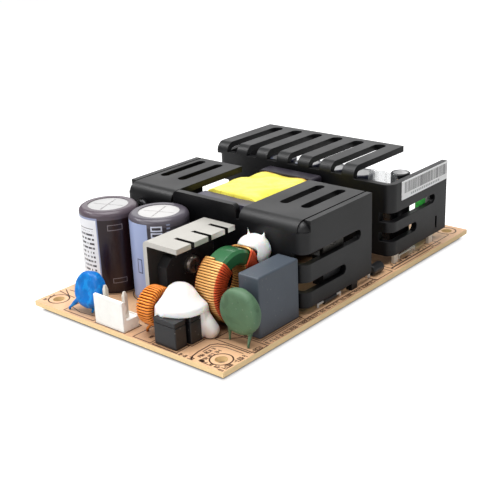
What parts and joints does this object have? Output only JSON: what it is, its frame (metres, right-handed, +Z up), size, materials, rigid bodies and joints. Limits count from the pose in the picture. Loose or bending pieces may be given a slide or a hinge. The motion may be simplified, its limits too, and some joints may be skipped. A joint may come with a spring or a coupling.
{
  "type": "open frame power supply",
  "caption": "Open frame switching power supply: tan circuit board with black slotted heatsinks, taped transformer, wound chokes, bulk capacitors and pin headers",
  "frame": {"origin": "centre of the bounding box footprint, at the lowest point, the tips of the solder joints under the board", "axes": "+X along the board from the mains input edge to the output edge, +Y across the board, +Z up from the solder side to the component side"},
  "size_m": [0.127, 0.0762, 0.0337],
  "materials": {
    "black_plastic": "moulded black plastic",
    "black_sheet": "satin black anodised sheet",
    "blue_coating": "glossy blue dipped coating",
    "blue_sleeve": "shrunk plastic sleeve, dark with a pale blue band",
    "can_metal": "bare aluminium",
    "clear_film": "clear insulation film",
    "copper_wire": "enamelled copper wire",
    "core_coating": "green coated ring core",
    "dark_sleeve": "shrunk plastic sleeve, dark aubergine",
    "ferrite": "dark grey ferrite",
    "green_coating": "sage green dipped coating",
    "green_sleeve": "shrunk plastic sleeve, green",
    "laminate": "tan circuit board laminate with a satin solder mask",
    "paper_label": "white label",
    "plated_screw": "nickel plated steel",
    "silicone": "white silicone, slightly glossy",
    "slate_case": "slate grey plastic case",
    "tinned_metal": "bright tinned wire and solder",
    "white_plastic": "off-white moulded plastic",
    "yellow_tape": "yellow polyester tape",
    "zinc_sheet": "dull zinc plated sheet"
  },
  "bodies": {
    "root": {"circuit_board": "laminate", "barcode_label": "paper_label", "blue_varistor": "blue_coating", "boost_diode": "black_plastic", "bridge_nut": "plated_screw", "bridge_rectifier": "black_plastic", "bridge_screw": "plated_screw", "bulk_capacitor_can_1": "can_metal", "bulk_capacitor_can_2": "can_metal", "bulk_capacitor_sleeve_1": "dark_sleeve", "bulk_capacitor_sleeve_2": "blue_sleeve", "choke_silicone": "silicone", "control_chip": "black_plastic", "device_nuts": "plated_screw", "device_screws": "plated_screw", "film_capacitor": "slate_case", "front_diode": "black_plastic", "front_heatsink": "black_sheet", "front_transistor_1": "black_plastic", "front_transistor_2": "black_plastic", "fuse_1": "black_plastic", "fuse_2": "black_plastic", "fuse_silicone": "silicone", "green_capacitor": "green_sleeve", "green_thermistor": "green_coating", "input_header": "white_plastic", "input_header_pins": "tinned_metal", "insulation_film": "clear_film", "main_choke_core": "core_coating", "main_choke_winding_left": "copper_wire", "main_choke_winding_right": "copper_wire", "middle_diode": "black_plastic", "optocoupler_1": "black_plastic", "optocoupler_2": "black_plastic", "output_capacitor_1": "blue_sleeve", "output_capacitor_2": "blue_sleeve", "output_capacitor_3": "blue_sleeve", "output_capacitor_4": "blue_sleeve", "output_choke_core": "ferrite", "output_choke_winding": "copper_wire", "output_header": "white_plastic", "output_header_pins": "tinned_metal", "output_rectifier_1": "black_plastic", "output_rectifier_2": "black_plastic", "output_rectifier_3": "black_plastic", "rear_heatsink": "black_sheet", "rear_heatsink_pins": "tinned_metal", "rectifier_bracket": "zinc_sheet", "small_capacitor": "dark_sleeve", "small_choke_core": "ferrite", "small_choke_winding": "copper_wire", "solder_joints": "tinned_metal", "tall_capacitor": "dark_sleeve", "transformer_bobbin": "black_plastic", "transformer_core_front": "ferrite", "transformer_core_rear": "ferrite", "transformer_pins": "tinned_metal", "transformer_winding": "yellow_tape", "wire_links": "tinned_metal"}
  },
  "joints": []
}
